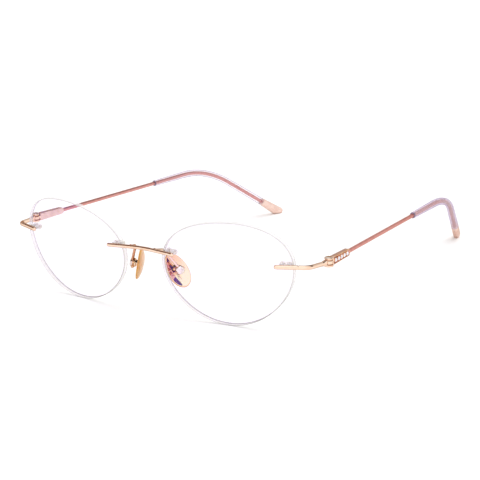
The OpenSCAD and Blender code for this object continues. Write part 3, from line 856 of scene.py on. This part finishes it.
def make_hinge_screw(name, side):
    """A slotted screw with a low domed head."""
    shape = Shape()
    upright = placed(HINGE + (0, 0, HINGE_H / 2 + SNUG), X_AXIS, Z_AXIS)
    profile = [(0.3, -HINGE_H + 0.02), (0.5, -HINGE_H + 0.05), (0.55, -HINGE_H + 0.15)]
    profile += [(0.55, 0.0), (1.2, 0.0), (1.25, 0.05), (1.25, 0.12)]
    for t in np.radians([25, 50, 72]):
        profile.append((1.07 + 0.18 * cos(t), 0.12 + 0.14 * sin(t)))
    profile += [(1.07, 0.265), (0.8, 0.285), (0.4, 0.298)]
    lathe(shape, upright, profile, 64)
    piece = shape.build(name, [silver_pink], side)
    slot_cutter = Shape()
    turned = placed(HINGE + (0, 0, HINGE_H / 2 + SNUG), unit(vec(1, 0.5, 0)), Z_AXIS)
    web_block(slot_cutter, turned, -1.5, 1.5, 0.125, 0.12, 0.9, 0.03)
    cut(piece, slot_cutter.build(name + "_slot", [silver_pink], side), 30)
    return piece


def plate_place(p):
    """From the plate's frame: x along the temple, y outwards, z up."""
    return HINGE + np.asarray(p) @ np.stack([TEMPLE_DIR, TEMPLE_SIDE, TEMPLE_TOP])


def make_plate(name, side):
    """The temple plate: satin inside, and outside a sunk channel between beaded rims."""
    shape = Shape()
    x0 = KNUCKLE_R + 0.16
    end_r = PLATE_END_H / 2
    loop, normals = stadium(x0, PLATE_LENGTH - end_r, PLATE_START_H / 2, end_r, 28, True)
    half = PLATE_T / 2
    e = 0.22
    quarter = np.linspace(0, pi / 2, 5)
    back = [(e * (1 - sin(t)), -half + e * (1 - cos(t))) for t in quarter]
    front = [(e * (1 - cos(t)), half - e * (1 - sin(t))) for t in quarter]
    profile = back + front + [(0.26, half), (0.3, half - 0.05), (0.32, half - 0.2)]
    kinds = [1] * 5 + [0] * (len(profile) - 5)
    stack(shape, loop, normals, profile, plate_place, kinds, (True, False))
    channel = [(loop - normals * 0.32, half - 0.2), (loop - normals * 0.8, half - 0.19)]
    rings = [plate_place(columns(q[:, 0], y, q[:, 1])) for q, y in channel]
    shape.rings(rings, 2, ends=(False, True))
    # The neck and the middle knuckle.
    flat = unit(TEMPLE_DIR * (1, 1, 0))
    neck = placed(HINGE, flat, Z_AXIS)
    reach = MIDDLE_KNUCKLE_H / 2 - 0.02
    web_block(shape, neck, 0.9, 2.3, half - 0.05, -reach, reach)
    upright = placed(HINGE, X_AXIS, Z_AXIS)
    h = MIDDLE_KNUCKLE_H / 2 - 0.05
    barrel = rounded(KNUCKLE_R - 0.14, -h, h, 0.1)
    lathe(shape, upright, [(0.6, -h)] + barrel + [(0.6, h), (0.6, -h)], 72, 0, (False, False))
    # Beads along the top and bottom rims.
    beads = Shape()
    top_slope = (PLATE_END_H - PLATE_START_H) / 2 / (PLATE_LENGTH - end_r - x0)
    for up in (1, -1):
        for x in np.arange(x0 + 1.2, PLATE_LENGTH - end_r + 0.3, 0.5 if up > 0 else 0.4):
            z = up * (PLATE_START_H / 2 + top_slope * (x - x0) - 0.15)
            dome(beads, x, half - 0.04, z, 0.21 if up > 0 else 0.11)
    # Little claws between the stones.
    for i in range(1, STONE_COUNT):
        x = STONE_FIRST + (i - 0.5) * STONE_PITCH
        for z in (-0.5, 0.5):
            dome(beads, x, half - 0.12, z, 0.16)
    plate = shape.build(name, [rose_gold, satin_pink, enamel], side, 32)
    return plate, beads.build(name + "_beads", [beads_gold], side)


def dome(shape, x, y, z, r):
    """A small round bead that stands on the outer face of the plate."""
    at = lambda p: plate_place(columns(p[:, 0] + x, p[:, 2] + y, p[:, 1] + z))
    angles = np.radians([-30, -5, 20, 45, 68, 84])
    lathe(shape, at, [(r * cos(t), r * sin(t)) for t in angles], 14)


def make_stones(name, side):
    """Round brilliants, each in a thin bezel."""
    gems, bezels = Shape(), Shape()
    surface_y = PLATE_T / 2
    lip = [(0.08, -0.24), (0.07, 0.0), (0.02, 0.1), (-0.04, 0.12), (-0.06, 0.05)]
    lip = [(STONE_R + out, h) for out, h in lip]
    for i in range(STONE_COUNT):
        x = STONE_FIRST + i * STONE_PITCH
        r = STONE_R - 0.05
        ring_at = lambda radius, count, turn, h: np.array([
            (x + radius * cos(a), surface_y + h, radius * sin(a))
            for a in (np.arange(count) + turn) * 2 * pi / count])
        table, middle = ring_at(r * 0.56, 8, 0, 0.4), ring_at(r * 0.82, 8, 0.5, 0.27)
        girdle, keel = ring_at(r, 16, 0, 0.1), ring_at(r, 16, 0, 0.04)
        points = np.concatenate([table, middle, girdle, keel, ring_at(r * 0.1, 16, 0, -0.34)])
        faces = [tuple(range(8))]
        for k in range(8):
            n, edge = (k + 1) % 8, 16 + 2 * k
            faces += [(k, n, 8 + k), (k, 8 + (k - 1) % 8, edge, 8 + k)]
            faces += [(8 + k, edge, edge + 1), (8 + k, edge + 1, 16 + (2 * k + 2) % 16)]
        for k in range(16):
            n = (k + 1) % 16
            faces += [(16 + k, 16 + n, 32 + n, 32 + k), (32 + k, 32 + n, 48 + n, 48 + k)]
        faces.append(tuple(range(48, 64)))
        gems.add(plate_place(points), faces)
        at = lambda p: plate_place(columns(p[:, 0] + x, p[:, 2] + surface_y, p[:, 1]))
        lathe(bezels, at, lip, 48, loop=True)
    stones = gems.build(name, [crystal], side, 1)
    return stones, bezels.build(name + "_bezels", [beads_gold], side)


def make_wire(name, side):
    start = HINGE + TEMPLE_DIR * (PLATE_LENGTH - 1.66)
    shape = Shape()
    path = bent_path(start, EAR, CAP_START + TAIL_DIR * 2.9, EAR_RADIUS, 1.2, 0.6)
    tube(shape, path, WIRE_R)
    return shape.build(name, [copper], side)


def make_sleeve(name, side):
    """The clear sleeve: thicker towards the tip, open at the front where the wire goes in."""
    start, end = HINGE + TEMPLE_DIR * SLEEVE_FROM, CAP_START - TAIL_DIR * SNUG
    path = bent_path(start, EAR, end, EAR_RADIUS, 0.9, 0.6)
    s = lengths(path)
    bend_start = TEMPLE_STRAIGHT - SLEEVE_FROM
    bend_end = bend_start + EAR_RADIUS * EAR_TURN
    middle = (2 * SLEEVE_START_R + 4 * SLEEVE_END_R) / 6
    radii = [SLEEVE_START_R, middle, middle, SLEEVE_END_R]
    r = np.interp(s, [0, bend_start, bend_end, s[-1]], radii)
    f, sides, e = frames(path), 48, 0.14
    a = turns(sides)
    start_r, end_r, bore = SLEEVE_START_R, SLEEVE_END_R, WIRE_R + SNUG
    # Each station: a point of the path, a shift along it, the radius, and a material.
    stations = [(0, 0, start_r - e, 2), (0, e * 0.4, start_r - e * 0.3, 2)]
    stations += [(0, e, start_r, 2), (0, 0.24, start_r, 0)]
    stations += [(k, 0, r[k], 0) for k in range(1, len(path) - 1)]
    stations += [(-1, -0.3, end_r, 0), (-1, -0.1, end_r, 2), (-1, 0, end_r - 0.05, 1)]
    stations += [(-1, 0, bore, 1)]
    stations += [(k, 0, bore, 1) for k in range(len(path) - 2, 0, -1)]
    stations += [(0, 0, bore, 2)]
    rings, kinds, flow = [], [], []
    for k, shift, radius, kind in stations:
        d, x, y = f[k]
        rings.append(ring(path[k] + d * shift, x, y, radius, sides))
        flow.append(columns(np.cos(a) * radius, np.sin(a) * radius, s[k] + shift))
        kinds.append(kind)
    shape = Shape()
    shape.rings(rings, kinds, loop=True, flow=flow)
    outside = sleeve_near if side > 0 else sleeve_far
    return shape.build(name, [outside, sleeve_bore, sleeve_cut], side)


def make_cap(name, side):
    """The tip cap: rays from its middle line meet the hull of a round socket and two balls."""
    bm = bmesh.new()
    a = turns(96)
    for z in (0.0, 0.6):
        for t in a:
            bm.verts.new((SLEEVE_END_R * cos(t), SLEEVE_END_R * sin(t), z))
    reach = CAP_WIDTH / 2 - CAP_END_R
    for cx, cz in ((reach, CAP_LENGTH - CAP_END_R), (-reach, CAP_LENGTH - CAP_END_R - CAP_SLANT)):
        for p in np.linspace(-pi / 2, pi / 2, 49):
            around, z = CAP_END_R * cos(p), cz + CAP_END_R * sin(p)
            for t in a[::2]:
                bm.verts.new((cx + around * cos(t), around * sin(t), z))
    bmesh.ops.convex_hull(bm, input=bm.verts)
    tree = BVHTree.FromBMesh(bm)
    sides, turn_at = 72, CAP_LENGTH - CAP_SLANT - 0.5
    b = turns(sides)
    stations = [(0.02, 0.0)] + [(z, 0.0) for z in np.linspace(0.12, turn_at, 44)]
    stations += [(turn_at, t) for t in np.radians(np.linspace(4, 87, 26))]
    rings = []
    for z, tilt in stations:
        points = []
        for t in b:
            ray = vec(cos(t) * cos(tilt), sin(t) * cos(tilt), sin(tilt))
            start = vec(0.25 * sin(tilt), 0, z)
            hit = tree.ray_cast(Vector(start), Vector(ray))[0]
            points.append(start + ray * 0.1 if hit is None else np.array(hit))
        points = np.array(points)
        height = points[:, 2]
        fade = np.clip((height - 1.2) / 1.5, 0, 1)
        fade = fade * np.clip((CAP_LENGTH - 2.4 - height) / 1.5, 0, 1)
        crease = 0.09 * np.exp(-((points[:, 0] / 0.45) ** 2)) * fade
        points[:, 1] += np.sign(points[:, 1]) * crease * (np.abs(points[:, 1]) > 0.3)
        if z < 0.7 and tilt == 0:
            share = 1 - 0.05 * exp(-(((z - 0.5) / 0.1) ** 2)) - (0.08 if z < 0.05 else 0)
            points[:, :2] *= share
        rings.append(points)
    bm.free()
    place = placed(CAP_START, CAP_UP, TAIL_DIR)
    shape = Shape()
    shape.rings([place(r) for r in rings], flow=rings)
    return shape.build(name, [satin_gold], side, 50)


def pad_place(p):
    """From the pad's frame: x away from the nose, y across, z up along the pad."""
    return np.asarray(p) @ PAD_MATRIX.T + (PAD_SPACING / 2, 0, 0)


def pad_loop(share):
    c, s = np.cos(turns(96)), np.sin(turns(96))
    return share * PAD_WIDTH / 2 * c * (1 - 0.12 * s), share * PAD_LENGTH / 2 * s


def make_pad(name, side):
    """An egg-shaped cushion: crowned towards the nose, with a gilded hollow in its back."""
    rings, kinds, flow = [], [], []
    outer_shares = np.sin(np.radians(np.linspace(66, 90, 16)))
    shares = np.concatenate([np.linspace(0.04, 0.9, 22), outer_shares])
    gilt_edge = 0.965

    def surface(s, front):
        y, z = pad_loop(s)
        face = PAD_CROWN_R - PAD_CROWN - np.sqrt(PAD_CROWN_R**2 - y**2 - z**2)
        thick = (PAD_FACE - face) / 2 * ((1 - s**7) ** 0.4 if front else (1 - s**40) ** 0.5)
        middle = (PAD_FACE + face) / 2
        dish = PAD_DISH * (1 - min(1, s / gilt_edge) ** 2)
        x = middle - thick if front else middle + thick - dish
        return columns(x, y, z)

    for s, front in [(s, False) for s in shares] + [(s, True) for s in reversed(shares[:-1])]:
        q = surface(s, front)
        rings.append(pad_place(q))
        flow.append(q)
        kinds.append(0 if front or s >= gilt_edge - 0.01 else 1)
    shape = Shape()
    shape.rings(rings, kinds, flow=flow)
    return shape.build(name, [pad_amber, pad_gilt[side]], side, 60)


def make_pad_core(name, side):
    """The lug that turns on the pad screw, on a rounded foot at the back of the pad."""
    shape = Shape()
    a = np.radians(np.linspace(-90, 90, 17))
    loop = [(PIVOT_X + LUG_R * cos(t), LUG_R * sin(t)) for t in a]
    loop += [(x, LUG_R) for x in (1.4, 0.6, -0.3)] + [(x, -LUG_R) for x in (-0.3, 0.6, 1.4)]
    steps = ((-0.8, 0.88), (-0.72, 1), (0.72, 1), (0.8, 0.88))
    point = lambda q, y: pad_place(columns(q[:, 0], y, q[:, 1]))
    shape.rings(scaled_rings(np.array(loop), steps, point))
    b, foot_half_width, foot_half_height = turns(48), 1.35, 2.5
    foot = []
    for share, x in ((0.2, -0.16), (0.75, -0.17), (0.95, -0.2), (1, -0.28), (1, -0.5), (0.9, -0.6)):
        y, z = foot_half_width * share * np.cos(b), foot_half_height * share * np.sin(b)
        foot.append(pad_place(columns(x, y, z)))
    shape.rings(foot)
    return shape.build(name, [rose_gold], side)


def make_box(name, side):
    """The little round-cornered box at the end of the pad arm, open towards the pad."""
    bm = bmesh.new()
    bmesh.ops.create_cube(bm, size=2)
    bmesh.ops.subdivide_edges(bm, edges=bm.edges, cuts=15, use_grid_fill=True)
    size, middle, most, power = vec(1.25, 1.55, 1.55), (2.1, 0, 0), 2.0, 4.5
    points = []
    for v in bm.verts:
        d = unit(np.array(v.co))
        reach = ((np.abs(d) / size) ** power).sum() + (1 / most) ** power
        points.append(d * reach ** (-1 / power) + middle)
    bm.verts.index_update()
    faces = [tuple(v.index for v in f.verts) for f in bm.faces]
    bm.free()
    shape = Shape()
    shape.add(pad_place(points), faces)
    piece = shape.build(name, [silver_pink, beads_gold], side)
    cutter = Shape()
    web_block(cutter, pad_place, -1.0, 2.9, 0.85, -3.0, 3.0, 0.15)
    cut(piece, cutter.build(name + "_slot", [silver_pink], side), 35)
    bead = Shape()
    t = np.radians(np.linspace(-86, 86, 23))
    at = lambda p: pad_place(p + (PIVOT_X, -1.5, 1.4))
    lathe(bead, at, [(0.52 * cos(v), 0.52 * sin(v)) for v in t], 36)
    return piece, bead.build(name + "_bead", [beads_gold], side)


def make_pad_screw(name, side):
    """The pad pin: a shaft across the box, with a round head."""
    shape = Shape()
    at = lambda p: pad_place(columns(p[:, 0] + PIVOT_X, -p[:, 2], p[:, 1]))
    profile = [(0.3, -1.9), (0.42, -1.88), (0.5, -1.78), (0.5, 1.6)]
    ball = np.radians(np.linspace(-48, 86, 23))
    head_r, head_at = 0.56, 2.15
    profile += [(head_r * cos(v), head_at + head_r * sin(v)) for v in ball]
    lathe(shape, at, profile, 40)
    return shape.build(name, [beads_gold], side)


def make_arm(name, side, peak, rim_end):
    """The pad arm, with a soldered foot on the back of the bridge."""
    on_bridge = peak + (rim_end - peak) * 5.2 / rim_end[0]
    foot = on_bridge + (0, BRIDGE_R + SNUG, 0)
    box_end = pad_place(vec(PIVOT_X + 0.5, 0, 1.52))
    path = bent_path(foot, on_bridge + vec(1.1, 4.6, -0.7), box_end, 1.6, 0.3, 0.15)
    s = lengths(path)
    radius = ARM_R + 0.22 * np.exp(-s / 0.35) + 0.12 * np.exp(-(s[-1] - s) / 0.3)
    shape = Shape()
    tube(shape, path, radius, 32)
    # The right arm takes the darker copy of the rose gold: painted shade.
    return shape.build(name, [rose_gold if side > 0 else shaded_rose_gold], side)


bridge, peak, rim_end = make_bridge()
done(bridge, "front", "rose_gold", "bridge")
for side, hand in ((1, "left"), (-1, "right")):
    temple, pad = hand + "_temple", hand + "_pad"
    for make, name, body, slot, node, *extra in (
        (make_lens, "lens_glass", "front", "lens", "lens"),
        (make_bushing, "nasal_bushing_clear", "front", "clear_bushing", "nasal_bushing", -1),
        (make_bushing, "temporal_bushing_clear", "front", "clear_bushing", "temporal_bushing", 1),
        (make_arm, "arm", "front", "rose_gold", "pad_arm", peak, rim_end),
        (make_box, "box", "front", "rose_gold", "pad_box"),
        (make_pad_screw, "pad_screw_slotted", "front", "rose_gold", "pad_screw"),
        (make_end_piece, "end_bar", "front", "rose_gold", "end_piece"),
        (make_hinge_screw, "hinge_screw_slotted", "front", "rose_gold", "hinge_screw"),
        (make_plate, "plate", temple, "rose_gold", "temple_plate"),
        (make_stones, "stones", temple, "crystal", "rhinestones"),
        (make_wire, "wire", temple, "copper_enamel", "temple_wire"),
        (make_sleeve, "sleeve", temple, "clear_sleeve", "temple_sleeve"),
        (make_cap, "cap", temple, "satin_gold", "tip_cap"),
        (make_pad, "pad_cushion", pad, "amber_pad", "nose_pad"),
        (make_pad_core, "pad_lug", pad, "rose_gold", "pad_core"),
    ):
        made = make(f"{hand}_{name}", side, *extra)
        piece, trim = made if isinstance(made, tuple) else (made, None)
        done(piece, body, slot, f"{hand}_{node}")
        if trim:
            done(trim, body, "rose_gold")


# ---- studio
@looks("floor_white")
def floor_white(n):
    tone = n.mix(n.noise(n.place(1.0), 2.0), (251, 251, 251), (253, 253, 253))
    return n("BsdfDiffuse", tone)


floor_shape = Shape()
steps = np.linspace(-4000, 4000, 9)
grid = [(x, y, FLOOR_Z - 0.01) for y in steps for x in steps]
corners = [i + 9 * j for j in range(8) for i in range(8)]
floor_shape.add(grid, [(k, k + 1, k + 10, k + 9) for k in corners])
floor = floor_shape.build("floor", [floor_white])

world = bpy.data.worlds.new("studio")
bpy.context.scene.world = world
world.use_nodes = True
n = Nodes(world.node_tree)
ray = n("TexCoord", out="Generated")
seen = n("LightPath", out="Is Camera Ray")
mirror = n("LightPath", out="Is Glossy Ray")
side_x, depth_y, height = (n("SeparateXYZ", ray, out=axis) for axis in "XYZ")

# The reflected studio: bright walls and ceiling, a dimmer back half overhead, and a dark gap
# across it.
light = n.ramp(height, 0.3, 0.6, 1.05, 1.25)
dim = n.mul(band(n, height, 0.5, 2.0, 0.1), band(n, depth_y, 0.2, 2.0, 0.1))
gap = n.mul(band(n, depth_y, 0.24, 0.66), band(n, height, 0.45, 2.0, 0.06))
gap = n.mul(gap, band(n, side_x, -0.3, 2.0, 0.05))
for shadow, depth in ((dim, 0.45), (gap, 0.96)):
    light = n.mul(light, n.math("SUBTRACT", 1.0, n.mul(shadow, depth)))
shade = n.mix(mirror, (0.8, 0.8, 0.8, 1), n("CombineColor", light, light, light))
shade = n.mix(seen, shade, (1, 1, 1, 1))
n.finish(n("Background", shade, 1.0), "OutputWorld")

# A dark board above and to one side, seen only in the polished bars, where it paints a dark
# reflection: it glows a dim brown and casts no light or shadow.
board_shape = Shape()
for x0, x1, y0, y1 in ((-330, -110, -295, 52), (-650, -330, -60, 130)):
    board_shape.add([(x0, y0, 210), (x1, y0, 210), (x1, y1, 210), (x0, y1, 210)], [(0, 1, 2, 3)])


@looks("reflection_board_glow")
def reflection_board_glow(n):
    # Painted dark reflection: a dim brown glow.
    tone = n.mix(n.noise(n.place(), 0.02), (112, 66, 38), (92, 52, 28))
    return n("Emission", tone)


board = board_shape.build("board", [reflection_board_glow])
for ray_kind in ("camera", "diffuse", "shadow", "transmission", "volume_scatter"):
    setattr(board, "visible_" + ray_kind, False)

key = bpy.data.lights.new("key", "SUN")
key.energy, key.angle = 1.35, radians(70)
lamp = new_object("key", key)
lamp.location = Vector((0.25, 0.5, 1.0))
lamp.rotation_mode = "QUATERNION"
lamp.rotation_quaternion = lamp.location.to_track_quat("Z", "Y")
lamp.visible_glossy = False

# The camera, fitted to the photograph. It's rolled a little about its own axis.
AZIMUTH, ELEVATION, ROLL, DISTANCE = 38.492, 15.147, -2.223, 514.9
FOCAL, SHIFT_X, SHIFT_Y = 109.87, 0.17045, 0.05566
a, e, r = (radians(x) for x in (AZIMUTH, ELEVATION, ROLL))
back = vec(sin(a) * cos(e), -cos(a) * cos(e), sin(e))
flat = vec(cos(a), sin(a), 0)
up = np.cross(back, flat)
right = cos(r) * flat + sin(r) * up
top = -sin(r) * flat + cos(r) * up
data = bpy.data.cameras.new("camera")
data.sensor_width, data.lens, data.shift_x, data.shift_y = 36, FOCAL, SHIFT_X, SHIFT_Y
data.clip_start, data.clip_end = 0.01, 20
camera = new_object("camera", data)
m = np.eye(4)
m[:3, 0], m[:3, 1], m[:3, 2], m[:3, 3] = right, top, back, back * DISTANCE * MM
camera.matrix_world = Matrix(m.tolist())
bpy.context.scene.camera = camera
bpy.context.scene.view_settings.view_transform = "Standard"
